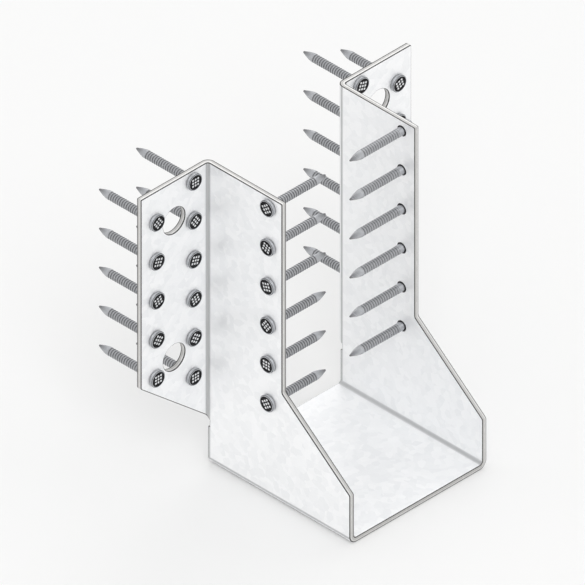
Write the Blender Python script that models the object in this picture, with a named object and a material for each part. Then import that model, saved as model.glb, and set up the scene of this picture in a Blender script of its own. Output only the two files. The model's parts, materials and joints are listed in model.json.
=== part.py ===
# Joist hanger: one punched and folded sheet of galvanised steel, with the nails that fix it.
# Metres, +Z up. The joist leaves the hanger towards -Y, and the header beam's face is behind it, at +Y.
# The origin is the middle of the seat's underside.

import math

import bmesh
import bpy
from mathutils import Vector

# The folded sheet
sheet_thickness = 0.0025
clear_width = 0.076  # between the side plates, for a joist 75 mm wide
overall_height = 0.1545
seat_depth = 0.084  # along the joist, from the sheet's rear edge
side_top_depth = 0.0438  # of a side plate above its slant, from the same rear edge
flange_width = 0.0395  # from the side plate's outer face to the flange's outer edge
slant_top_height = 0.0575  # where both slanted edges start, above the floor
nose_height = 0.025  # where the side plate's slant ends, at the seat's front
flange_root_height = 0.0225  # where the flange's slant ends, at its bend
seat_bend_radius = 0.0015  # inside, between seat and side plate
flange_bend_radius = 0.001  # inside, between side plate and flange
relief_height = 0.003  # notch under the flange's root, which lets the flange fold alone

# Nails
nail_diameter = 0.004
nail_length = 0.035  # from the top of the head to the point
nail_point_length = 0.006
nail_tip_width = 0.0006  # of the small square at the very end of the point
nail_head_diameter = 0.008
nail_head_thickness = 0.0015
nail_head_chamfer = 0.0004
nail_neck_length = 0.003
seating_gap = 0.0003  # between a nail and the sheet around it

# Holes
nail_hole_clearance = 0.0005  # around the nail's shank
bolt_hole_diameter = 0.013
row_count = 6  # nails down the flange's inner column and down the side plate's
top_row_below_top = 0.005
bottom_row_below_slant = 0.008  # below where the slanted edges start
inner_column_from_side = 0.009  # on the flange, from the side plate's outer face
outer_column_from_edge = 0.0085  # on the flange
side_column_from_edge = 0.0075  # on the side plate, from its front edge above the slant

# How finely round shapes are cut
bend_steps = 6
nail_hole_sides = 20
bolt_hole_sides = 32
nail_sides = 16
sheet_sharp_angle = math.radians(30)
nail_sharp_angle = math.radians(40)

right_angle = math.pi / 2
nail_hole_radius = nail_diameter / 2 + nail_hole_clearance
seat_bend_start = clear_width / 2 - seat_bend_radius
flange_bend_start = flange_bend_radius
nail_tip = nail_head_thickness - nail_length  # below the head's underside


def arc_length(radius):
    """The length of a right-angle bend along the middle of the sheet."""
    return right_angle * (radius + sheet_thickness / 2)


def flat_height(height):
    """How far from the blank's middle line a height on the side plate lies before folding."""
    straight = height - sheet_thickness - seat_bend_radius
    return seat_bend_start + arc_length(seat_bend_radius) + straight


def flat_flange(from_side):
    """How far forward of the blank's rear edge a place on the flange lies before folding."""
    straight = from_side - flange_bend_radius
    return flange_bend_start - arc_length(flange_bend_radius) - straight


def bent(distance, offset, radius):
    """A point past the start of a bend, as (along, rise) from that start and the sheet's middle.

    The offset is its distance from the sheet's middle, away from the bend's centre.
    """
    middle = radius + sheet_thickness / 2
    turned = min(distance, arc_length(radius)) / middle
    beyond = max(distance - arc_length(radius), 0)
    along = (middle + offset) * math.sin(turned) + beyond * math.cos(turned)
    rise = middle - (middle + offset) * math.cos(turned) + beyond * math.sin(turned)
    return along, rise


def folded(point):
    """Where a point of the flat blank lies in the finished hanger."""
    depth, across, offset = point
    side = math.copysign(1, across)
    across = abs(across)
    if depth < flange_bend_start and across > flat_height(flange_root_height - relief_height / 2):
        along, rise = bent(flange_bend_start - depth, offset, flange_bend_radius)
        depth, offset = flange_bend_start - along, -rise
    if across > seat_bend_start:
        along, offset = bent(across - seat_bend_start, -offset, seat_bend_radius)
        across = seat_bend_start + along
    return Vector((side * across, seat_depth / 2 - depth, sheet_thickness / 2 + offset))


top_row = overall_height - top_row_below_top
bottom_row = slant_top_height - bottom_row_below_slant
row_pitch = (top_row - bottom_row) / (row_count - 1)
rows = [top_row - row_pitch * number for number in range(row_count)]
# The flange's outer column has its nails half way between those rows.
staggered_rows = [row - row_pitch / 2 for row in rows[:-1]]
# A bolt hole sits between two nails of each column, at the top and at the bottom.
bolt_rows = [staggered_rows[0] - row_pitch / 4, staggered_rows[-1] + row_pitch / 4]
outer_column_from_side = flange_width - outer_column_from_edge
flange_columns = [
    ("inner", inner_column_from_side, rows),
    ("outer", outer_column_from_side, staggered_rows),
]
bolt_column = (inner_column_from_side + outer_column_from_side) / 2
side_column = side_top_depth - side_column_from_edge


def half_outline():
    """The blank's corners on one side of its middle line, from the rear edge round to the front."""
    outer = flat_flange(flange_width)
    return [
        (0, flat_height(flange_root_height - relief_height)),
        (flange_bend_start, flat_height(flange_root_height - relief_height)),
        (flange_bend_start, flat_height(flange_root_height)),
        (outer, flat_height(slant_top_height)),
        (outer, flat_height(overall_height)),
        (side_top_depth, flat_height(overall_height)),
        (side_top_depth, flat_height(slant_top_height)),
        (seat_depth, flat_height(nose_height)),
    ]


def circle(centre, radius, sides):
    corners = []
    for step in range(sides):
        angle = 2 * math.pi * (step + 0.5) / sides
        corners.append((centre[0] + radius * math.cos(angle), centre[1] + radius * math.sin(angle)))
    return corners


def half_holes():
    """The holes on one side of the blank's middle line, as (centre, radius, sides)."""
    holes = []
    for _, column, heights in flange_columns:
        for row in heights:
            holes.append(((flat_flange(column), flat_height(row)), nail_hole_radius, nail_hole_sides))
    for row in bolt_rows:
        holes.append(((flat_flange(bolt_column), flat_height(row)), bolt_hole_diameter / 2, bolt_hole_sides))
    for row in rows:
        holes.append(((side_column, flat_height(row)), nail_hole_radius, nail_hole_sides))
    return holes


def add_loop(mesh, corners):
    points = [mesh.verts.new((depth, across, -sheet_thickness / 2)) for depth, across in corners]
    for first, second in zip(points, points[1:] + points[:1]):
        mesh.edges.new((first, second))


def add_punched_blank(mesh):
    """The flat blank, as it is cut and punched from the coil."""
    half = half_outline()
    add_loop(mesh, half + [(depth, -across) for depth, across in reversed(half)])
    for (depth, across), radius, sides in half_holes():
        add_loop(mesh, circle((depth, across), radius, sides))
        add_loop(mesh, circle((depth, -across), radius, sides))
    bmesh.ops.triangle_fill(mesh, use_beauty=True, edges=mesh.edges[:])
    thick = bmesh.ops.extrude_face_region(mesh, geom=mesh.faces[:])
    upper = [item for item in thick["geom"] if isinstance(item, bmesh.types.BMVert)]
    bmesh.ops.translate(mesh, vec=(0, 0, sheet_thickness), verts=upper)
    bmesh.ops.recalc_face_normals(mesh, faces=mesh.faces[:])


def cut_across(mesh, faces, place, direction):
    """Adds an edge line to these faces, so that they can bend there."""
    edges = {edge for face in faces for edge in face.edges}
    points = {vert for face in faces for vert in face.verts}
    bmesh.ops.bisect_plane(
        mesh, geom=[*points, *edges, *faces], dist=1e-7, plane_co=place, plane_no=direction
    )


def cut_bend_lines(mesh):
    """Edge lines along the two seat bends and the two flange bends."""
    for step in range(bend_steps + 1):
        across = seat_bend_start + arc_length(seat_bend_radius) * step / bend_steps
        cut_across(mesh, mesh.faces[:], (0, across, 0), (0, 1, 0))
        cut_across(mesh, mesh.faces[:], (0, -across, 0), (0, 1, 0))
    cut_across(mesh, mesh.faces[:], (flange_bend_start, 0, 0), (1, 0, 0))
    notch = flat_height(flange_root_height - relief_height / 2)
    for step in range(1, bend_steps + 1):
        depth = flange_bend_start - arc_length(flange_bend_radius) * step / bend_steps
        flanges = []
        for face in mesh.faces:
            middle = face.calc_center_median()
            if middle.x < flange_bend_start and abs(middle.y) > notch:
                flanges.append(face)
        cut_across(mesh, flanges, (depth, 0, 0), (1, 0, 0))


def finished(name, mesh, material, sharp_angle):
    """The mesh with its material, shaded smooth apart from its sharper edges."""
    data = bpy.data.meshes.new(name)
    mesh.to_mesh(data)
    mesh.free()
    data.materials.append(material)
    data.shade_smooth()
    data.set_sharp_from_angle(angle=sharp_angle)
    return data


def add_object(name, data):
    made = bpy.data.objects.new(name, data)
    bpy.context.scene.collection.objects.link(made)
    return made


def make_sheet(material):
    mesh = bmesh.new()
    add_punched_blank(mesh)
    cut_bend_lines(mesh)
    for vert in mesh.verts:
        vert.co = folded(vert.co)
    return finished("hanger_sheet", mesh, material, sheet_sharp_angle)


def nail_profile():
    """A nail's outline from its end to the top of its head, as (radius, height above the head's seat)."""
    shank = nail_diameter / 2
    neck = nail_hole_radius - seating_gap
    head = nail_head_diameter / 2
    return [
        (0, nail_tip),
        (shank, nail_tip),
        (shank, -nail_neck_length),
        (neck, 0),
        (head, 0),
        (head, nail_head_thickness - nail_head_chamfer),
        (head - nail_head_chamfer, nail_head_thickness),
        (0, nail_head_thickness),
    ]


def pinch_point(mesh):
    """Cuts the shank's end to a four-sided point, as the nail machine does."""
    slope = (nail_diameter - nail_tip_width) / 2 / nail_point_length
    for quarter in range(4):
        angle = right_angle * (quarter + 0.5)
        outward = Vector((math.cos(angle), math.sin(angle), 0))
        cut = bmesh.ops.bisect_plane(
            mesh,
            geom=mesh.verts[:] + mesh.edges[:] + mesh.faces[:],
            dist=1e-7,
            plane_co=outward * nail_tip_width / 2 + Vector((0, 0, nail_tip)),
            plane_no=outward - Vector((0, 0, slope)),
            clear_outer=True,
        )
        rim = [item for item in cut["geom_cut"] if isinstance(item, bmesh.types.BMEdge)]
        bmesh.ops.edgeloop_fill(mesh, edges=rim)


def make_nail(material):
    """One nail with its axis on Z, its head's underside at zero and its point down."""
    mesh = bmesh.new()
    points = [mesh.verts.new((radius, 0, height)) for radius, height in nail_profile()]
    edges = [mesh.edges.new(pair) for pair in zip(points, points[1:])]
    bmesh.ops.spin(
        mesh, geom=points + edges, cent=(0, 0, 0), axis=(0, 0, 1), angle=2 * math.pi, steps=nail_sides
    )
    bmesh.ops.remove_doubles(mesh, verts=mesh.verts[:], dist=1e-6)
    pinch_point(mesh)
    bmesh.ops.recalc_face_normals(mesh, faces=mesh.faces[:])
    return finished("nail", mesh, material, nail_sharp_angle)


def add_nail(name, nail, place, outward):
    """A nail driven home at a place on the sheet's surface, with its head towards outward."""
    driven = add_object(name, nail)
    driven.location = place + outward * seating_gap
    driven.rotation_euler = outward.to_track_quat("Z", "Y").to_euler()


def add_nails(nail):
    """Nails in every nail hole, on both sides of the hanger."""
    side_face = clear_width / 2 + sheet_thickness
    flange_face = seat_depth / 2
    for label, side in (("left", -1), ("right", 1)):
        for column_label, column, heights in flange_columns:
            for number, row in enumerate(heights, 1):
                place = Vector((side * (side_face + column), flange_face, row))
                add_nail(f"{label}_flange_nail_{column_label}_{number}", nail, place, Vector((0, -1, 0)))
        for number, row in enumerate(rows, 1):
            place = Vector((side * side_face, flange_face - side_column, row))
            add_nail(f"{label}_side_nail_{number}", nail, place, Vector((side, 0, 0)))


def make_material(name, colour, roughness):
    material = bpy.data.materials.new(name)
    material.use_nodes = True
    shader = material.node_tree.nodes["Principled BSDF"]
    shader.inputs["Base Color"].default_value = (*colour, 1)
    shader.inputs["Metallic"].default_value = 1
    shader.inputs["Roughness"].default_value = roughness
    return material


for old in list(bpy.data.objects):
    bpy.data.objects.remove(old)
add_object("hanger_sheet", make_sheet(make_material("galvanised_sheet", (0.86, 0.88, 0.90), 0.42)))
add_nails(make_nail(make_material("zinc_plated_nail", (0.42, 0.43, 0.45), 0.30)))
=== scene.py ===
import json
import math

import bmesh
import bpy
from mathutils import Matrix, Vector


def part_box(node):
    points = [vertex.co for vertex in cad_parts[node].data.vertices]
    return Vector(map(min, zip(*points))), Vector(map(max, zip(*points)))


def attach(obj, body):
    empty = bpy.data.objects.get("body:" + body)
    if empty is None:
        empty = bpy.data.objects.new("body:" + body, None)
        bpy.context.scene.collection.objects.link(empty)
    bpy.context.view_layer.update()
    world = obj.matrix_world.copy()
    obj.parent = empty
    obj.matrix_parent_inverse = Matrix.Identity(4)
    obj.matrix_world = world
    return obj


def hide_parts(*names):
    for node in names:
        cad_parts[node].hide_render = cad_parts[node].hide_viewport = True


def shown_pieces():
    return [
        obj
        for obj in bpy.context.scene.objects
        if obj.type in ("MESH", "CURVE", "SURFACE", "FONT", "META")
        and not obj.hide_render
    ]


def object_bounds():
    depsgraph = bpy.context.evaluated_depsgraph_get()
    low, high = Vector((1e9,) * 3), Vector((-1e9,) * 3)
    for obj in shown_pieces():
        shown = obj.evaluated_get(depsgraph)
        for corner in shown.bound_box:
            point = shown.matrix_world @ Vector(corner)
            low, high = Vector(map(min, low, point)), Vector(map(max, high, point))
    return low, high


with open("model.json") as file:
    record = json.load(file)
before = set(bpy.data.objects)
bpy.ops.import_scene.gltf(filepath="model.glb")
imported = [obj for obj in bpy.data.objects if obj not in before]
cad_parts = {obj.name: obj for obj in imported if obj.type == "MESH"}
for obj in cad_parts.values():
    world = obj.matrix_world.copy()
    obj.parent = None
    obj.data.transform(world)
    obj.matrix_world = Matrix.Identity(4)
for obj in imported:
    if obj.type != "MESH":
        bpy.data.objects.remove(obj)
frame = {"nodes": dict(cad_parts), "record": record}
cadLow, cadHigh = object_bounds()
print(f"frame loaded: {len(frame['nodes'])} solids")

quarterTurn = math.pi / 2
closeBy = 0.00002     # how near a corner lies to the place where it is looked for


# Modelling steps that every piece uses
def near(value, place):
    return abs(value - place) < closeBy


def past(value, place):
    # At the place or beyond it
    return value > place - closeBy


def only(obj):
    if bpy.context.mode != "OBJECT":
        bpy.ops.object.mode_set(mode="OBJECT")
    bpy.ops.object.select_all(action="DESELECT")
    if obj:
        obj.select_set(True)
        bpy.context.view_layer.objects.active = obj
    return obj


def edit(obj):
    only(obj)
    bpy.ops.object.mode_set(mode="EDIT")


def settle(obj):
    # Puts an object's place, turn and size into its mesh
    only(obj)
    bpy.ops.object.transform_apply(location=True, rotation=True, scale=True)


def ownCopy(obj):
    copy = obj.copy()
    copy.data = obj.data.copy()
    bpy.context.collection.objects.link(copy)
    return copy


def joinAll(objects):
    only(None)
    for obj in objects:
        obj.select_set(True)
    bpy.context.view_layer.objects.active = objects[0]
    bpy.ops.object.join()
    return bpy.context.object


def pick(obj, kind, wanted):
    # Selects the corners, edges or faces that lie wholly where wanted says
    bpy.ops.mesh.select_mode(type=kind)
    bpy.ops.mesh.select_all(action="DESELECT")
    mesh = bmesh.from_edit_mesh(obj.data)
    for part in {"VERT": mesh.verts, "EDGE": mesh.edges, "FACE": mesh.faces}[kind]:
        corners = [part] if kind == "VERT" else part.verts
        part.select_set(all(wanted(corner.co) for corner in corners))
    bmesh.update_edit_mesh(obj.data)


def pickRims(obj, wanted):
    # Selects the edges between the coated faces and the sheared ones
    bpy.ops.mesh.select_mode(type="EDGE")
    bpy.ops.mesh.select_all(action="DESELECT")
    mesh = bmesh.from_edit_mesh(obj.data)
    for edge in mesh.edges:
        finishes = {face.material_index for face in edge.link_faces}
        edge.select_set(len(finishes) == 2 and all(wanted(corner.co) for corner in edge.verts))
    bmesh.update_edit_mesh(obj.data)


def slide(x=0, y=0, z=0):
    bpy.ops.transform.translate(value=(x, y, z))


def drawOut(x=0, y=0, z=0):
    bpy.ops.mesh.extrude_region_move(TRANSFORM_OT_translate={"value": (x, y, z)})


def cutThrough(point, normal, clear=False, fill=False):
    bpy.ops.mesh.bisect(
        plane_co=point, plane_no=normal, clear_outer=clear, use_fill=fill, threshold=0.000001
    )


def faceOutwards():
    bpy.ops.mesh.select_all(action="SELECT")
    bpy.ops.mesh.normals_make_consistent(inside=False)


def applyModifier(obj, kind, **settings):
    only(obj)
    modifier = obj.modifiers.new(kind.lower(), kind)
    for name, value in settings.items():
        setattr(modifier, name, value)
    bpy.ops.object.modifier_apply(modifier=modifier.name)


def smoothOver(obj, degrees):
    only(obj)
    bpy.ops.object.shade_smooth_by_angle(angle=math.radians(degrees))
    applyModifier(obj, "WEIGHTED_NORMAL", keep_sharp=True, weight=60)


# Materials
def put(tree, kind, x, y, settings=None, values=None):
    # values goes by a socket's name, or by its number where two have one name
    node = tree.nodes.new(kind)
    node.location = (x, y)
    for name, value in (settings or {}).items():
        setattr(node, name, value)
    for name, value in (values or {}).items():
        node.inputs[name].default_value = value
    return node


def join(tree, start, output, end, value):
    tree.links.new(start.outputs[output], end.inputs[value])


def newGroup(name, inputs, outputs):
    tree = bpy.data.node_groups.new(name, "ShaderNodeTree")
    for label, kind, value in inputs:
        socket = tree.interface.new_socket(label, in_out="INPUT", socket_type=kind)
        if value is not None:
            socket.default_value = value
    for label, kind in outputs:
        tree.interface.new_socket(label, in_out="OUTPUT", socket_type=kind)
    return tree, put(tree, "NodeGroupInput", -1000, 0), put(tree, "NodeGroupOutput", 800, 0)


def useGroup(tree, group, x, y, values=None):
    return put(tree, "ShaderNodeGroup", x, y, {"node_tree": group}, values)


def makeSpangleGroup():
    # Zinc crystals: one tone for each crystal, with fine branches that run their own way in each
    number, vector = "NodeSocketFloat", "NodeSocketVector"
    inputs = [
        ("Vector", vector, None),
        ("Crystals per metre", number, 340.0),
        ("Ragged edge", number, 0.0007),
    ]
    tree, given, result = newGroup("zincSpangle", inputs, [("Tone", number), ("Branches", number)])
    wander = put(tree, "ShaderNodeTexNoise", -800, -200, None, {"Scale": 900.0, "Detail": 2.0})
    centred = put(tree, "ShaderNodeVectorMath", -600, -200, {"operation": "SUBTRACT"})
    centred.inputs[1].default_value = (0.5, 0.5, 0.5)
    scaled = put(tree, "ShaderNodeVectorMath", -450, -200, {"operation": "SCALE"})
    moved = put(tree, "ShaderNodeVectorMath", -300, 0, {"operation": "ADD"})
    crystals = put(tree, "ShaderNodeTexVoronoi", -120, 0)
    channels = put(tree, "ShaderNodeSeparateColor", 60, 0)
    turn = put(tree, "ShaderNodeMath", 200, -120, {"operation": "MULTIPLY"}, {1: 4 * quarterTurn})
    turned = put(tree, "ShaderNodeVectorRotate", 340, -120, None, {"Axis": (0.48, 0.6, 0.64)})
    drawn = put(tree, "ShaderNodeVectorMath", 480, -120, {"operation": "MULTIPLY"})
    drawn.inputs[1].default_value = (300.0, 2600.0, 2600.0)     # long one way
    branches = put(tree, "ShaderNodeTexNoise", 620, -120, None, {"Scale": 1.0, "Detail": 2.0})
    join(tree, given, "Vector", wander, "Vector")
    join(tree, wander, "Color", centred, 0)
    join(tree, centred, "Vector", scaled, 0)
    join(tree, given, "Ragged edge", scaled, "Scale")
    join(tree, given, "Vector", moved, 0)
    join(tree, scaled, "Vector", moved, 1)
    join(tree, moved, "Vector", crystals, "Vector")
    join(tree, given, "Crystals per metre", crystals, "Scale")
    join(tree, crystals, "Color", channels, "Color")
    join(tree, channels, "Green", turn, 0)
    join(tree, given, "Vector", turned, "Vector")
    join(tree, turn, "Value", turned, "Angle")
    join(tree, turned, "Vector", drawn, 0)
    join(tree, drawn, "Vector", branches, "Vector")
    join(tree, channels, "Red", result, "Tone")
    join(tree, branches, "Fac", result, "Branches")
    return tree


def makeHairlineGroup():
    # Long thin scratches that all run one way
    number, vector = "NodeSocketFloat", "NodeSocketVector"
    inputs = [
        ("Vector", vector, None),
        ("Turn", vector, None),
        ("Fineness", number, 1.0),
        ("Share", number, 0.3),
    ]
    tree, given, result = newGroup("hairlines", inputs, [("Mask", number)])
    turned = put(tree, "ShaderNodeVectorRotate", -700, 0, {"rotation_type": "EULER_XYZ"})
    drawn = put(tree, "ShaderNodeVectorMath", -500, 0, {"operation": "MULTIPLY"})
    drawn.inputs[1].default_value = (1800.0, 1800.0, 36.0)      # long one way
    sized = put(tree, "ShaderNodeVectorMath", -300, 0, {"operation": "SCALE"})
    noise = put(tree, "ShaderNodeTexNoise", -100, 0, None, {"Scale": 1.0, "Detail": 0.0})
    least = put(tree, "ShaderNodeMath", 100, -200, {"operation": "SUBTRACT"}, {0: 1.0})
    mask = put(tree, "ShaderNodeMapRange", 300, 0, {"interpolation_type": "SMOOTHSTEP"})
    mask.inputs["From Max"].default_value = 0.9
    join(tree, given, "Vector", turned, "Vector")
    join(tree, given, "Turn", turned, "Rotation")
    join(tree, turned, "Vector", drawn, 0)
    join(tree, drawn, "Vector", sized, 0)
    join(tree, given, "Fineness", sized, "Scale")
    join(tree, sized, "Vector", noise, "Vector")
    join(tree, given, "Share", least, 1)
    join(tree, noise, "Fac", mask, "Value")
    join(tree, least, "Value", mask, "From Min")
    join(tree, mask, "Result", result, "Mask")
    return tree


def startMaterial(name, roughness, metallic=1.0):
    material = bpy.data.materials.new(name)
    material.use_nodes = True
    tree = material.node_tree
    shader = tree.nodes["Principled BSDF"]
    shader.inputs["Metallic"].default_value = metallic
    shader.inputs["Roughness"].default_value = roughness
    place = put(tree, "ShaderNodeTexCoord", -1600, 0)
    return material, tree, shader, place


galvanising = {
    "darkCrystal": (0.910, 0.918, 0.928),
    "paleCrystal": (0.978, 0.982, 0.988),
    "crystalsPerMetre": 340.0,
    "branchShare": 0.35,       # how much the branches count beside the crystals' own tones
    "darkest": 0.2,            # the tones that get the dark and the pale colour
    "palest": 0.8,
    "scratch": (0.975, 0.98, 0.985),
    "scratchShare": 0.27,
    "scratchStrength": 0.5,
    # painted shade in the folds' hollows, together with the coating's dulling there
    "foldDull": (0.40, 0.405, 0.41),
    "foldInside": 0.8,         # how far the folds go to the dull, painted-shade colour
    "foldOutside": 0.22,
    "foldStart": 0.0033,       # from the line where the middles of two flats would meet
    "foldFull": 0.0023,
    "outsideEnd": 0.0017,
    "insideStart": 0.0021,
    "metallic": 0.6,           # the rest is the coating's chalky bloom
    "smoothest": 0.46,
    "roughest": 0.62,
    "crystalRelief": 0.6,      # beside the grain's relief
    "grainHeight": 0.000012,
}


def galvanisedCoat(spangle, hairlines, sheet):
    material, tree, shader, place = startMaterial("galvanisedCoat", 0.5, galvanising["metallic"])
    crystals = useGroup(tree, spangle, -1300, 200)
    crystals.inputs["Crystals per metre"].default_value = galvanising["crystalsPerMetre"]
    mixed = put(tree, "ShaderNodeMix", -1050, 200, {"data_type": "FLOAT"})
    mixed.inputs["Factor"].default_value = galvanising["branchShare"]
    ramp = put(tree, "ShaderNodeValToRGB", -850, 300)
    dark, pale = ramp.color_ramp.elements
    dark.position = galvanising["darkest"]
    dark.color = (*galvanising["darkCrystal"], 1)
    pale.position = galvanising["palest"]
    pale.color = (*galvanising["paleCrystal"], 1)
    join(tree, place, "Object", crystals, "Vector")
    join(tree, crystals, "Tone", mixed, "A")
    join(tree, crystals, "Branches", mixed, "B")
    join(tree, mixed, "Result", ramp, "Fac")

    # Handling scratches: down both walls, across the side plates and across the flanges
    turns = ((0.0, 0.03, 0.0), (1.15, 0.0, 0.0), (0.0, 1.2, 0.0))
    share = galvanising["scratchShare"]
    scratches = None
    for row, turn in enumerate(turns):
        level = -150 - 180 * row
        lines = useGroup(tree, hairlines, -1300, level, {"Turn": turn, "Share": share})
        join(tree, place, "Object", lines, "Vector")
        if scratches:
            both = put(tree, "ShaderNodeMath", -1050, level, {"operation": "MAXIMUM"})
            tree.links.new(scratches, both.inputs[0])
            join(tree, lines, "Mask", both, 1)
            scratches = both.outputs["Value"]
        else:
            scratches = lines.outputs["Mask"]
    scratched = put(tree, "ShaderNodeMix", -550, 250, {"data_type": "RGBA"})
    scratched.inputs["B"].default_value = (*galvanising["scratch"], 1)
    faint = put(tree, "ShaderNodeMath", -750, 0, {"operation": "MULTIPLY"})
    faint.inputs[1].default_value = galvanising["scratchStrength"]
    tree.links.new(scratches, faint.inputs[0])
    join(tree, faint, "Value", scratched, "Factor")
    join(tree, ramp, "Color", scratched, "A")

    # The coating dulls where the sheet was folded, and painted shade darkens the folds: most in the
    # hollow of the fold, a little outside
    axes = put(tree, "ShaderNodeSeparateXYZ", -1300, -800)
    aside = put(tree, "ShaderNodeMath", -1100, -700, {"operation": "ABSOLUTE"})
    across = put(tree, "ShaderNodeMath", -950, -700, {"operation": "SUBTRACT"})
    across.inputs[1].default_value = sheet["plateMiddle"]
    join(tree, place, "Object", axes, "Vector")
    join(tree, axes, "X", aside, 0)
    join(tree, aside, "Value", across, 0)
    distances = []
    for axis, line, row in (("Z", sheet["seatMiddle"], 0), ("Y", sheet["flangeMiddle"], 1)):
        level = -850 - 160 * row
        along = put(tree, "ShaderNodeMath", -950, level, {"operation": "SUBTRACT"}, {1: line})
        flat = put(tree, "ShaderNodeCombineXYZ", -800, level)
        away = put(tree, "ShaderNodeVectorMath", -650, level, {"operation": "LENGTH"})
        join(tree, axes, axis, along, 0)
        join(tree, across, "Value", flat, "X")
        join(tree, along, "Value", flat, "Y")
        join(tree, flat, "Vector", away, 0)
        distances.append(away)
    nearest = put(tree, "ShaderNodeMath", -500, -850, {"operation": "MINIMUM"})
    join(tree, distances[0], "Value", nearest, 0)
    join(tree, distances[1], "Value", nearest, 1)
    fold = put(tree, "ShaderNodeMapRange", -350, -850, {"interpolation_type": "SMOOTHSTEP"})
    fold.inputs["From Min"].default_value = galvanising["foldStart"]
    fold.inputs["From Max"].default_value = galvanising["foldFull"]
    hollow = put(tree, "ShaderNodeMapRange", -350, -1050, {"interpolation_type": "SMOOTHSTEP"})
    hollow.inputs["From Min"].default_value = galvanising["outsideEnd"]
    hollow.inputs["From Max"].default_value = galvanising["insideStart"]
    hollow.inputs["To Min"].default_value = galvanising["foldOutside"]
    hollow.inputs["To Max"].default_value = galvanising["foldInside"]
    join(tree, nearest, "Value", fold, "Value")
    join(tree, nearest, "Value", hollow, "Value")
    # Painted shade and dulling: darker towards the hollow of each fold
    foldDullAndShaded = put(tree, "ShaderNodeMix", -300, 250, {"data_type": "RGBA"})
    foldDullAndShaded.inputs["B"].default_value = (*galvanising["foldDull"], 1)
    partly = put(tree, "ShaderNodeMath", -150, -850, {"operation": "MULTIPLY"})
    join(tree, fold, "Result", partly, 0)
    join(tree, hollow, "Result", partly, 1)
    join(tree, partly, "Value", foldDullAndShaded, "Factor")
    join(tree, scratched, "Result", foldDullAndShaded, "A")
    join(tree, foldDullAndShaded, "Result", shader, "Base Color")

    # Gloss: each crystal its own, with cloudy patches from handling
    clouds = put(tree, "ShaderNodeTexNoise", -850, -350, None, {"Scale": 45.0, "Detail": 3.0})
    join(tree, place, "Object", clouds, "Vector")
    gloss = put(tree, "ShaderNodeMath", -600, -300, {"operation": "ADD"})
    join(tree, mixed, "Result", gloss, 0)
    join(tree, clouds, "Fac", gloss, 1)
    rough = put(tree, "ShaderNodeMapRange", -400, -300)
    rough.inputs["From Min"].default_value = 0.6
    rough.inputs["From Max"].default_value = 1.4
    rough.inputs["To Min"].default_value = galvanising["smoothest"]
    rough.inputs["To Max"].default_value = galvanising["roughest"]
    join(tree, gloss, "Value", rough, "Value")
    join(tree, rough, "Result", shader, "Roughness")

    # Relief: crystal edges, grain and the scratches
    grain = put(tree, "ShaderNodeTexNoise", -850, -550, None, {"Scale": 2600.0, "Detail": 3.0})
    join(tree, place, "Object", grain, "Vector")
    relief = put(tree, "ShaderNodeMath", -600, -500, {"operation": "MULTIPLY_ADD"})
    relief.inputs[1].default_value = galvanising["crystalRelief"]
    join(tree, mixed, "Result", relief, 0)
    join(tree, grain, "Fac", relief, 2)
    scored = put(tree, "ShaderNodeMath", -450, -500, {"operation": "SUBTRACT"})
    join(tree, relief, "Value", scored, 0)
    join(tree, faint, "Value", scored, 1)
    bump = put(tree, "ShaderNodeBump", -250, -450, None, {"Strength": 1.0})
    bump.inputs["Distance"].default_value = galvanising["grainHeight"]
    join(tree, scored, "Value", bump, "Height")
    join(tree, bump, "Normal", shader, "Normal")
    return material


shearing = {
    "burnished": (0.74, 0.735, 0.725),
    "torn": (0.60, 0.595, 0.585),
    # painted shade on the rounded rims, with the burr's dark break
    "rimLine": (0.075, 0.074, 0.073),
    "burnishedShare": 0.42,
    "waver": 0.34,             # how far the bands' border wavers, in thicknesses
    "border": 0.06,
    "rimStart": 0.30,          # in thicknesses from the middle
    "rimFull": 0.36,
    "burnishedRoughness": 0.34,
    "tornRoughness": 0.58,
    "grainHeight": 0.00004,
}


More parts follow.
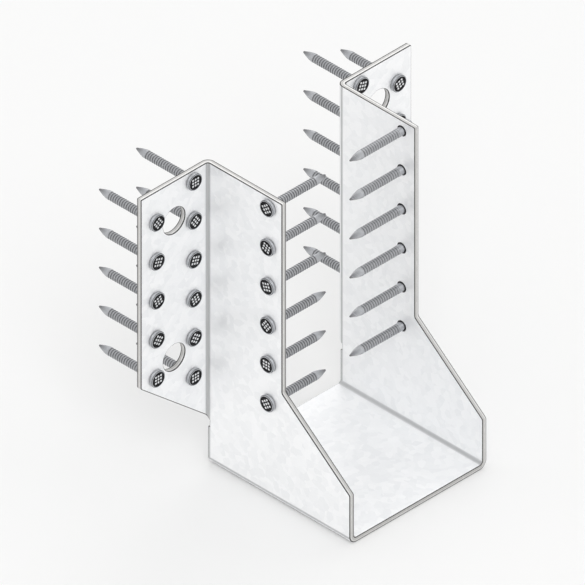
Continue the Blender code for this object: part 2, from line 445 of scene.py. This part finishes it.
def shearedEdge():
    # Cut through the steel: a burnished band and a torn band, with a dark line along both rims:
    # painted shade on the rounded rims, and the burr's dark break
    material, tree, shader, place = startMaterial("shearedEdge", 0.4)
    depth = put(tree, "ShaderNodeAttribute", -1400, 200, {"attribute_name": "cutDepth"})
    ripple = put(tree, "ShaderNodeTexNoise", -1400, -50, None, {"Scale": 700.0, "Detail": 3.0})
    join(tree, place, "Object", ripple, "Vector")
    ragged = put(tree, "ShaderNodeMath", -1150, 100, {"operation": "MULTIPLY_ADD"})
    ragged.inputs[1].default_value = shearing["waver"]
    join(tree, ripple, "Fac", ragged, 0)
    join(tree, depth, "Fac", ragged, 2)
    ramp = put(tree, "ShaderNodeValToRGB", -900, 200)
    torn, burnished = ramp.color_ramp.elements
    torn.position = shearing["waver"] / 2 + 1 - shearing["burnishedShare"] - shearing["border"] / 2
    torn.color = (*shearing["torn"], 1)
    burnished.position = torn.position + shearing["border"]
    burnished.color = (*shearing["burnished"], 1)
    join(tree, ragged, "Value", ramp, "Fac")
    fromMiddle = put(tree, "ShaderNodeMath", -1150, 400, {"operation": "SUBTRACT"}, {1: 0.5})
    toFace = put(tree, "ShaderNodeMath", -1000, 400, {"operation": "ABSOLUTE"})
    rim = put(tree, "ShaderNodeMapRange", -850, 450, {"interpolation_type": "SMOOTHSTEP"})
    rim.inputs["From Min"].default_value = shearing["rimStart"]
    rim.inputs["From Max"].default_value = shearing["rimFull"]
    rimShaded = put(tree, "ShaderNodeMix", -450, 300, {"data_type": "RGBA"})
    rimShaded.inputs["B"].default_value = (*shearing["rimLine"], 1)
    join(tree, depth, "Fac", fromMiddle, 0)
    join(tree, fromMiddle, "Value", toFace, 0)
    join(tree, toFace, "Value", rim, "Value")
    join(tree, rim, "Result", rimShaded, "Factor")
    join(tree, ramp, "Color", rimShaded, "A")
    join(tree, rimShaded, "Result", shader, "Base Color")
    rough = put(tree, "ShaderNodeMapRange", -700, -100)
    rough.inputs["From Min"].default_value = torn.position
    rough.inputs["From Max"].default_value = burnished.position
    rough.inputs["To Min"].default_value = shearing["tornRoughness"]
    rough.inputs["To Max"].default_value = shearing["burnishedRoughness"]
    join(tree, ragged, "Value", rough, "Value")
    join(tree, rough, "Result", shader, "Roughness")
    grain = put(tree, "ShaderNodeTexNoise", -900, -350, None, {"Scale": 2400.0, "Detail": 4.0})
    join(tree, place, "Object", grain, "Vector")
    bump = put(tree, "ShaderNodeBump", -500, -300, None, {"Strength": 1.0})
    bump.inputs["Distance"].default_value = shearing["grainHeight"]
    join(tree, grain, "Fac", bump, "Height")
    join(tree, bump, "Normal", shader, "Normal")
    return material


nailFinish = {
    "plating": (0.35, 0.36, 0.38),
    "platingPale": (0.56, 0.57, 0.59),
    # painted shade for the grooves between the rings
    "valley": (0.16, 0.16, 0.165),
    "scratch": (0.62, 0.63, 0.65),
    "smoothest": 0.24,
    "roughest": 0.42,
    "polished": (0.74, 0.75, 0.77),
    "polishedPale": (0.92, 0.93, 0.94),
    "recess": (0.006, 0.006, 0.007),
    "recessPale": (0.024, 0.024, 0.026),
    "recessMetallic": 0.6,
    "recessSpecular": 0.15,
    "recessSmoothest": 0.36,
    "recessRoughest": 0.6,
}


def nailPlating(name, dark, pale, hairlines):
    material, tree, shader, place = startMaterial(name, 0.32)
    clouds = put(tree, "ShaderNodeTexNoise", -1200, 200, None, {"Scale": 900.0, "Detail": 4.0})
    join(tree, place, "Object", clouds, "Vector")
    tone = put(tree, "ShaderNodeMix", -900, 200, {"data_type": "RGBA"})
    tone.inputs["A"].default_value = (*dark, 1)
    tone.inputs["B"].default_value = (*pale, 1)
    join(tree, clouds, "Fac", tone, "Factor")
    # Painted shade: darker in the grooves between the rings
    valley = put(tree, "ShaderNodeAttribute", -1200, -50, {"attribute_name": "valley"})
    grooveShaded = put(tree, "ShaderNodeMix", -650, 200, {"data_type": "RGBA"})
    grooveShaded.inputs["B"].default_value = (*nailFinish["valley"], 1)
    join(tree, valley, "Fac", grooveShaded, "Factor")
    join(tree, tone, "Result", grooveShaded, "A")
    lines = useGroup(tree, hairlines, -1200, -250, {"Turn": (0.9, 0.4, 0.0), "Fineness": 2.0})
    join(tree, place, "Object", lines, "Vector")
    scored = put(tree, "ShaderNodeMix", -400, 200, {"data_type": "RGBA"})
    scored.inputs["B"].default_value = (*nailFinish["scratch"], 1)
    join(tree, lines, "Mask", scored, "Factor")
    join(tree, grooveShaded, "Result", scored, "A")
    join(tree, scored, "Result", shader, "Base Color")
    rough = put(tree, "ShaderNodeMapRange", -650, -150)
    rough.inputs["To Min"].default_value = nailFinish["smoothest"]
    rough.inputs["To Max"].default_value = nailFinish["roughest"]
    join(tree, clouds, "Fac", rough, "Value")
    join(tree, rough, "Result", shader, "Roughness")
    bump = put(tree, "ShaderNodeBump", -400, -300, None, {"Strength": 1.0, "Distance": 0.00001})
    join(tree, clouds, "Fac", bump, "Height")
    join(tree, bump, "Normal", shader, "Normal")
    return material


def struckRecess():
    # The near-black hollow that the heading die leaves in a nail's head
    material, tree, shader, place = startMaterial("struckRecess", 0.5, nailFinish["recessMetallic"])
    shader.inputs["Specular IOR Level"].default_value = nailFinish["recessSpecular"]
    clouds = put(tree, "ShaderNodeTexNoise", -900, 200, None, {"Scale": 1600.0, "Detail": 3.0})
    join(tree, place, "Object", clouds, "Vector")
    tone = put(tree, "ShaderNodeMix", -600, 200, {"data_type": "RGBA"})
    tone.inputs["A"].default_value = (*nailFinish["recess"], 1)
    tone.inputs["B"].default_value = (*nailFinish["recessPale"], 1)
    join(tree, clouds, "Fac", tone, "Factor")
    join(tree, tone, "Result", shader, "Base Color")
    rough = put(tree, "ShaderNodeMapRange", -600, -50)
    rough.inputs["To Min"].default_value = nailFinish["recessSmoothest"]
    rough.inputs["To Max"].default_value = nailFinish["recessRoughest"]
    join(tree, clouds, "Fac", rough, "Value")
    join(tree, rough, "Result", shader, "Roughness")
    return material


# The folded sheet
sheetLow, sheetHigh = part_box("hanger_sheet")
sheet = {
    "thickness": 0.0025,
    "clearWidth": 0.076,
    "seatFold": 0.0015,        # inside radii
    "flangeFold": 0.001,
    "foldSteps": 10,
    "upperFront": -0.0018,     # front edge of the side plates above the slant
    "slantTop": 0.0575,
    "noseTop": 0.025,
    "flangeRoot": 0.0225,
    "reliefHeight": 0.003,
    "cornerRound": 0.0006,
    "nailHole": 0.005,
    "boltHole": 0.013,
    "holeSides": 48,
    "rollover": 0.00028,       # rounding where the punch went in, and the burr side's break
    "burrBreak": 0.00012,
    "rimNear": 0.02,           # how near to a face a rim lies, in thicknesses
    "smoothUnder": 35,         # degrees
}
half = sheet["thickness"] / 2
sheet["plateMiddle"] = sheet["clearWidth"] / 2 + half
sheet["seatMiddle"] = sheetLow.z + half
sheet["flangeMiddle"] = sheetHigh.y - half
sheet["seatTurn"] = sheet["seatFold"] + half
sheet["flangeTurn"] = sheet["flangeFold"] + half


def foldLeftHalf():
    # The middle of the sheet's thickness, from the seat's centre line to the left flange's edge
    plateX = -sheet["plateMiddle"]
    flangeY = sheet["flangeMiddle"]
    seatEdge = plateX + sheet["seatTurn"]
    seatRear = sheetHigh.y - sheet["thickness"]
    foldY = flangeY - sheet["flangeTurn"]
    foldTop = sheet["seatMiddle"] + sheet["seatTurn"]
    flangeRoot = sheet["flangeRoot"]
    reliefLow = flangeRoot - sheet["reliefHeight"]
    seatCentre = (seatEdge / 2, (sheetLow.y + seatRear) / 2, sheet["seatMiddle"])

    only(None)
    bpy.ops.mesh.primitive_plane_add(size=1, location=seatCentre)
    plate = bpy.context.object
    plate.name = "hangerSheet"
    settle(plate)
    edit(plate)
    bpy.ops.mesh.select_all(action="SELECT")
    seatSize = (-seatEdge, seatRear - sheetLow.y, 1)
    bpy.ops.transform.resize(value=seatSize, center_override=seatCentre)

    # Up round the seat's fold to the top of the side plate
    pick(plate, "EDGE", lambda corner: near(corner.x, seatEdge))
    bpy.ops.mesh.spin(
        steps=sheet["foldSteps"], angle=-quarterTurn, center=(seatEdge, 0, foldTop), axis=(0, 1, 0)
    )
    drawOut(z=sheetHigh.z - foldTop)

    # The relief notch under the flange
    for height in (reliefLow, flangeRoot):
        pick(plate, "FACE", lambda corner: near(corner.x, plateX))
        cutThrough((0, 0, height), (0, 0, 1))
    pick(plate, "FACE", lambda corner: near(corner.x, plateX) and past(corner.z, reliefLow))
    cutThrough((0, foldY, 0), (0, 1, 0))
    pick(plate, "FACE", lambda corner: past(corner.y, foldY) and past(corner.z, reliefLow))
    bpy.ops.mesh.delete(type="FACE")

    # The front edge: straight down from the top, out along the slant and down the nose
    upperFront = sheet["upperFront"]
    slantTop = sheet["slantTop"]
    nose = Vector((plateX, sheetLow.y, sheet["noseTop"]))
    upward = Vector((0, nose.z - slantTop, upperFront - nose.y)).normalized()
    pick(plate, "FACE", lambda corner: near(corner.x, plateX) and past(corner.z, flangeRoot))
    cutThrough((0, upperFront, 0), (0, 1, 0))
    pick(plate, "FACE", lambda corner: past(upperFront, corner.y) and past(corner.z, flangeRoot))
    cutThrough(nose, upward)
    pick(
        plate,
        "FACE",
        lambda corner: past(upperFront, corner.y) and past((corner - nose).dot(upward), 0),
    )
    bpy.ops.mesh.delete(type="FACE")

    # Round the flange's fold and out to its edge
    pick(plate, "EDGE", lambda corner: near(corner.y, foldY) and past(corner.z, flangeRoot))
    bendX = plateX - sheet["flangeTurn"]
    bpy.ops.mesh.spin(
        steps=sheet["foldSteps"], angle=-quarterTurn, center=(bendX, foldY, 0), axis=(0, 0, 1)
    )
    drawOut(x=sheetLow.x - bendX)

    # The flange's lower edge climbs evenly along the flat blank, so it climbs round the fold too
    bendLength = sheet["flangeTurn"] * quarterTurn
    climb = (slantTop - flangeRoot) / (bendLength + bendX - sheetLow.x)
    for step in range(1, sheet["foldSteps"] + 1):
        angle = quarterTurn * step / sheet["foldSteps"]
        x = bendX + sheet["flangeTurn"] * math.cos(angle)
        y = foldY + sheet["flangeTurn"] * math.sin(angle)
        root = Vector((x, y, flangeRoot))
        pick(plate, "VERT", lambda corner: (corner - root).length < closeBy)
        slide(z=climb * sheet["flangeTurn"] * angle)
    pick(plate, "VERT", lambda corner: near(corner.x, sheetLow.x) and near(corner.z, flangeRoot))
    slide(z=slantTop - flangeRoot)

    # One face for each flat, then the outline's corners are rounded
    bpy.ops.mesh.select_all(action="SELECT")
    bpy.ops.mesh.dissolve_limited(angle_limit=math.radians(1))
    sharp = (
        Vector((plateX, upperFront, sheetHigh.z)),
        Vector((plateX, upperFront, slantTop)),
        nose,
        Vector((plateX, seatRear, reliefLow)),
        Vector((sheetLow.x, flangeY, sheetHigh.z)),
        Vector((sheetLow.x, flangeY, slantTop)),
    )
    pick(plate, "VERT", lambda corner: any((corner - place).length < closeBy for place in sharp))
    bpy.ops.mesh.bevel(affect="VERTICES", offset=sheet["cornerRound"], segments=4)
    faceOutwards()
    return plate


def cutDepth(corner):
    # 1 on the face that the punch meets, which is outside and in front, and 0 on the other
    x = abs(corner.x)
    bendX = sheet["plateMiddle"] + sheet["flangeTurn"]
    seatEdge = sheet["plateMiddle"] - sheet["seatTurn"]
    foldY = sheet["flangeMiddle"] - sheet["flangeTurn"]
    foldTop = sheet["seatMiddle"] + sheet["seatTurn"]
    if corner.z < foldTop:
        if x < seatEdge:
            outward = sheet["seatMiddle"] - corner.z
        else:
            outward = math.hypot(x - seatEdge, corner.z - foldTop) - sheet["seatTurn"]
    elif x > bendX:
        outward = sheet["flangeMiddle"] - corner.y
    elif corner.y > foldY and corner.z > sheet["flangeRoot"]:
        outward = sheet["flangeTurn"] - math.hypot(x - bendX, corner.y - foldY)
    else:
        outward = x - sheet["plateMiddle"]
    return min(max(outward / sheet["thickness"] + 0.5, 0), 1)


def nailPlaces():
    # Where each nail's head is, and which way it faces
    found = {}
    for node in frame["nodes"]:
        if "_nail_" in node:
            low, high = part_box(node)
            if "flange" in node:
                outward = Vector((0, -1, 0))
            else:
                outward = Vector((-1 if node.startswith("left") else 1, 0, 0))
            reach = abs(outward.dot(high - low)) / 2
            found[node] = ((low + high) / 2 + outward * reach, outward)
    return found


def punchHoles(plate, nails, finish):
    centres = [(top, outward, sheet["nailHole"]) for top, outward in nails.values()]
    for opening in frame["record"]["physics"]["openings"]:
        if opening["name"].endswith("bolt_hole"):
            low, high = (Vector(end) for end in opening["box_m"])
            centres.append(((low + high) / 2, Vector((0, -1, 0)), sheet["boltHole"]))
    only(None)
    punches = []
    for centre, outward, across in centres:
        place = centre.copy()
        if outward.x:
            place.x = math.copysign(sheet["plateMiddle"], outward.x)
        else:
            place.y = sheet["flangeMiddle"]
        bpy.ops.mesh.primitive_cylinder_add(
            vertices=sheet["holeSides"],
            radius=across / 2,
            depth=sheet["thickness"] * 2,
            location=place,
            rotation=outward.to_track_quat("Z", "Y").to_euler(),
        )
        punches.append(bpy.context.object)
    punch = joinAll(punches)
    punch.data.materials.append(finish)
    applyModifier(
        plate,
        "BOOLEAN",
        operation="DIFFERENCE",
        object=punch,
        solver="EXACT",
        material_mode="TRANSFER",
    )
    bpy.data.objects.remove(punch)


def makeSheet(nails, coat, cut):
    plate = foldLeftHalf()
    applyModifier(plate, "MIRROR", merge_threshold=0.0001)
    print(f"sheet folded: {len(plate.data.polygons)} faces")
    plate.data.materials.append(coat)
    plate.data.materials.append(cut)
    applyModifier(
        plate,
        "SOLIDIFY",
        thickness=sheet["thickness"],
        offset=0,
        use_even_offset=True,
        use_quality_normals=True,
        material_offset_rim=1,
    )
    edit(plate)
    faceOutwards()
    only(plate)
    punchHoles(plate, nails, cut)
    edit(plate)
    bpy.ops.mesh.select_all(action="SELECT")
    bpy.ops.mesh.remove_doubles(threshold=0.000002)
    for rim, width in ((1, sheet["rollover"]), (0, sheet["burrBreak"])):
        pickRims(plate, lambda corner: abs(cutDepth(corner) - rim) < sheet["rimNear"])
        bpy.ops.mesh.bevel(offset=width, segments=2, material=1)
    only(plate)
    depth = plate.data.attributes.new("cutDepth", "FLOAT", "POINT")
    depth.data.foreach_set("value", [cutDepth(corner.co) for corner in plate.data.vertices])
    smoothOver(plate, sheet["smoothUnder"])
    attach(plate, "root")
    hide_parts("hanger_sheet")
    print(f"sheet punched: {len(plate.data.polygons)} faces")
    return plate


# The connector nails
nail = {
    "sides": 32,
    "headRadius": 0.004,
    "headThickness": 0.0015,
    "headEdge": 0.0004,
    "headCurve": ((0.35, 0.2), (0.06, 0.6), (0, 1)),    # in and down, as shares of headEdge
    "undersideEdge": 0.3,      # the same, in and up
    "neckRadius": 0.0022,
    "neckLength": 0.003,
    "shankRadius": 0.002,
    "length": 0.035,
    "pointLength": 0.006,
    "tipWidth": 0.0006,
    "firstRing": 0.0055,       # below the head
    "ringPitch": 0.0013,
    "rings": 16,
    "ringDepth": 0.00024,
    "grooveStart": 0.2,        # the rings' shape along the nail, as shares of the pitch
    "crestStart": 0.12,
    "crestEnd": 0.22,
    "slopeEnd": 0.9,
    "lastRise": 0.15,
    "crestLean": 0.995,        # the crest's end beside its start
    "recessRadius": 0.0035,
    "recessDepth": 0.00025,
    "recessTaper": 0.95,
    "padRows": 3,
    "padPitch": 0.0015,
    "padWidth": 0.0011,
    "padTop": 0.82,            # share of a pad's width that is flat on top
    "padHeight": 0.0002,
    "padBedded": 0.00005,      # how far a pad starts below the recess's floor
    "headTurns": 5,            # differently turned heads, as nails land when they are driven
    "turnStep": 2,             # from one nail to the next
    "smoothUnder": 32,         # degrees
}


def growNail(plating, recess):
    # On Z, with the head's underside at zero, drawn out from the head to the point
    sunk = nail["headThickness"]
    edge = nail["headEdge"]
    tip = sunk - nail["length"]
    groove = nail["shankRadius"] - nail["ringDepth"]
    pitch = nail["ringPitch"]
    shank = nail["shankRadius"]
    loops = [
        (nail["headRadius"] - edge * inward, sunk - edge * down)
        for inward, down in nail["headCurve"]
    ]
    loops += [
        (nail["headRadius"], edge * nail["undersideEdge"]),
        (nail["headRadius"] - edge * nail["undersideEdge"], 0),
        (nail["neckRadius"], 0),
        (shank, -nail["neckLength"]),
        (shank, -nail["firstRing"]),
        (groove, -nail["firstRing"] - pitch * nail["grooveStart"]),
    ]
    for ring in range(nail["rings"]):
        start = -nail["firstRing"] - pitch * (ring + nail["grooveStart"])
        loops += [
            (shank, start - pitch * nail["crestStart"]),
            (shank * nail["crestLean"], start - pitch * nail["crestEnd"]),
            (groove, start - pitch * nail["slopeEnd"]),
            (groove, start - pitch),
        ]
    loops += [(shank, loops[-1][1] - pitch * nail["lastRise"]), (shank, tip)]

    only(None)
    radius = nail["headRadius"] - edge
    bpy.ops.mesh.primitive_circle_add(
        vertices=nail["sides"], radius=radius, fill_type="NGON", location=(0, 0, sunk)
    )
    made = bpy.context.object
    made.name = "nail"
    settle(made)
    edit(made)
    bpy.ops.mesh.select_mode(type="FACE")
    bpy.ops.mesh.select_all(action="SELECT")
    height = sunk
    for newRadius, newHeight in loops:
        drawOut(z=newHeight - height)
        bpy.ops.transform.resize(value=(newRadius / radius, newRadius / radius, 1))
        radius, height = newRadius, newHeight

    # Four slanting cuts make the point
    slope = (shank - nail["tipWidth"] / 2) / nail["pointLength"]
    for quarter in range(4):
        angle = quarterTurn * (quarter + 0.5)
        outward = Vector((math.cos(angle), math.sin(angle), 0))
        bpy.ops.mesh.select_all(action="SELECT")
        cutThrough(
            outward * nail["tipWidth"] / 2 + Vector((0, 0, tip)),
            outward - Vector((0, 0, slope)),
            clear=True,
            fill=True,
        )
    faceOutwards()

    # The struck recess in the head
    pick(made, "FACE", lambda corner: near(corner.z, sunk))
    bpy.ops.mesh.inset(thickness=nail["headRadius"] - edge - nail["recessRadius"])
    drawOut(z=-nail["recessDepth"])
    bpy.ops.transform.resize(value=(nail["recessTaper"], nail["recessTaper"], 1))
    only(made)

    # The recess is dark, and so is a thin line round the head's rounded edge
    made.data.materials.append(plating)
    made.data.materials.append(recess)
    darkFrom = (sunk - nail["recessDepth"], loops[1][1])
    for face in made.data.polygons:
        lowest = min(made.data.vertices[corner].co.z for corner in face.vertices)
        face.material_index = int(any(near(lowest, height) for height in darkFrom))
    return made


def strikePads(recess, polished):
    # The waffle of raised squares that keeps the hammer from slipping, and whose tops it polishes
    floor = nail["headThickness"] - nail["recessDepth"]
    height = nail["padHeight"] + nail["padBedded"]
    only(None)
    bpy.ops.mesh.primitive_cube_add(
        size=1,
        location=(0, 0, floor - nail["padBedded"] + height / 2),
        scale=(nail["padWidth"], nail["padWidth"], height),
    )
    pad = bpy.context.object
    settle(pad)
    edit(pad)
    pick(pad, "FACE", lambda corner: corner.z > floor)
    bpy.ops.transform.resize(value=(nail["padTop"], nail["padTop"], 1))
    only(pad)
    pad.data.materials.append(recess)
    pad.data.materials.append(polished)
    for face in pad.data.polygons:
        face.material_index = int(face.normal.z > 0.9)
    middleRow = (nail["padRows"] - 1) / 2
    rows = [(row - middleRow) * nail["padPitch"] for row in range(nail["padRows"])]
    pads = []
    for x in rows:
        for y in rows:
            copy = ownCopy(pad)
            copy.data.transform(Matrix.Translation((x, y, 0)))
            pads.append(copy)
    bpy.data.objects.remove(pad)
    return joinAll(pads)


def markGrooveShade(made):
    # Painted shade: marks the grooves between the rings, where the plating is darkened
    groove = nail["shankRadius"] - nail["ringDepth"]
    valley = made.data.attributes.new("valley", "FLOAT", "POINT")
    amounts = []
    for corner in made.data.vertices:
        radius = math.hypot(corner.co.x, corner.co.y)
        amounts.append(float(corner.co.z < -nail["firstRing"] and radius < groove + closeBy))
    valley.data.foreach_set("value", amounts)


def makeNails(places, plating, recess, polished):
    plain = growNail(plating, recess)
    pads = strikePads(recess, polished)
    heads = []
    for turn in range(nail["headTurns"]):
        head = ownCopy(plain)
        pads.rotation_euler.z = quarterTurn * turn / nail["headTurns"]
        bpy.context.view_layer.update()
        applyModifier(
            head,
            "BOOLEAN",
            operation="UNION",
            object=pads,
            solver="EXACT",
            material_mode="TRANSFER",
        )
        markGrooveShade(head)
        smoothOver(head, nail["smoothUnder"])
        heads.append(head)
    for number, (node, (top, outward)) in enumerate(places.items()):
        words = node.split("_")
        driven = ownCopy(heads[number * nail["turnStep"] % nail["headTurns"]])
        driven.name = words[0] + "".join(word.capitalize() for word in words[1:])
        underside = top - outward * nail["headThickness"]
        turned = outward.to_track_quat("Z", "Y").to_matrix().to_4x4()
        driven.data.transform(Matrix.Translation(underside) @ turned)
        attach(driven, "root")
        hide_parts(node)
    for spare in (plain, pads, *heads):
        bpy.data.objects.remove(spare)
    print(f"nails driven: {len(places)}")


# Floor, light and camera
studio = {
    "floorHalf": 3.0,
    "floorColour": (0.882, 0.882, 0.879),
    "skyLight": 0.885,         # strength as a light
    "skySeen": 0.96,           # strength where the camera or a mirror sees it
    "azimuth": 45.0,
    "elevation": 35.26,
    "frameWidth": 0.245,
    "cameraAway": 1.5,
}
lamps = (
    # name, place, width, watts
    ("keyLamp", (-2.6, -3.4, 4.4), 2.6, 70.0),
    ("topLamp", (0.4, 0.6, 6.0), 4.8, 16.0),
    ("fillLamp", (3.0, 1.8, 3.6), 3.2, 20.0),
)


def makeStudio():
    only(None)
    bpy.ops.mesh.primitive_plane_add(size=2 * studio["floorHalf"], location=(0, 0, 0))
    floor = bpy.context.object
    floor.name = "studioFloor"
    material, tree, shader, place = startMaterial("paleFloor", 0.8, 0.0)
    shader.inputs["Base Color"].default_value = (*studio["floorColour"], 1)
    shader.inputs["Specular IOR Level"].default_value = 0
    floor.data.materials.append(material)

    world = bpy.data.worlds.new("studioSky")
    bpy.context.scene.world = world
    world.use_nodes = True
    tree = world.node_tree
    sky = tree.nodes["Background"]
    sky.inputs["Color"].default_value = (1, 1, 1, 1)
    rays = put(tree, "ShaderNodeLightPath", -700, 0)
    seen = put(tree, "ShaderNodeMath", -500, 0, {"operation": "MAXIMUM"})
    seenThrough = put(tree, "ShaderNodeMath", -350, 0, {"operation": "MAXIMUM"})
    strength = put(tree, "ShaderNodeMapRange", -200, 0)
    strength.inputs["To Min"].default_value = studio["skyLight"]
    strength.inputs["To Max"].default_value = studio["skySeen"]
    join(tree, rays, "Is Camera Ray", seen, 0)
    join(tree, rays, "Is Glossy Ray", seen, 1)
    join(tree, seen, "Value", seenThrough, 0)
    join(tree, rays, "Is Transmission Ray", seenThrough, 1)
    join(tree, seenThrough, "Value", strength, "Value")
    join(tree, strength, "Result", sky, "Strength")

    middle = (cadLow + cadHigh) / 2
    for name, place, width, watts in lamps:
        light = bpy.data.lights.new(name, "AREA")
        light.shape = "SQUARE"
        light.size = width
        light.energy = watts
        lamp = bpy.data.objects.new(name, light)
        lamp.location = place
        lamp.rotation_euler = (middle - Vector(place)).to_track_quat("-Z", "Y").to_euler()
        bpy.context.scene.collection.objects.link(lamp)


def makeCamera():
    # Looks down the drawing's isometric line, and centres what it sees
    azimuth = math.radians(studio["azimuth"])
    elevation = math.radians(studio["elevation"])
    level = Vector((-math.sin(azimuth), -math.cos(azimuth), 0))
    back = level * math.cos(elevation) + Vector((0, 0, math.sin(elevation)))
    turn = (-back).to_track_quat("-Z", "Y")
    right, up = turn @ Vector((1, 0, 0)), turn @ Vector((0, 1, 0))
    meshes = [piece.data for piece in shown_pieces() if piece.type == "MESH"]
    middle = Vector((0, 0, 0))
    for axis in (right, up):
        spread = [corner.co.dot(axis) for mesh in meshes for corner in mesh.vertices]
        middle += axis * (min(spread) + max(spread)) / 2
    view = bpy.data.cameras.new("isometricCamera")
    view.type = "ORTHO"
    view.ortho_scale = studio["frameWidth"]
    view.clip_start = 0.01
    view.clip_end = 10
    camera = bpy.data.objects.new("isometricCamera", view)
    camera.location = middle + back * studio["cameraAway"]
    camera.rotation_mode = "QUATERNION"
    camera.rotation_quaternion = turn
    bpy.context.scene.collection.objects.link(camera)
    bpy.context.scene.camera = camera


spangleGroup = makeSpangleGroup()
hairlineGroup = makeHairlineGroup()
coat = galvanisedCoat(spangleGroup, hairlineGroup, sheet)
cut = shearedEdge()
plating = nailPlating(
    "nailPlating", nailFinish["plating"], nailFinish["platingPale"], hairlineGroup
)
polished = nailPlating(
    "polishedPad", nailFinish["polished"], nailFinish["polishedPale"], hairlineGroup
)
nearBlackRecess = struckRecess()
print("materials mixed")
places = nailPlaces()
makeSheet(places, coat, cut)
makeNails(places, plating, nearBlackRecess, polished)
makeCamera()
makeStudio()
bpy.context.scene.view_settings.view_transform = "Standard"
print("scene ready")
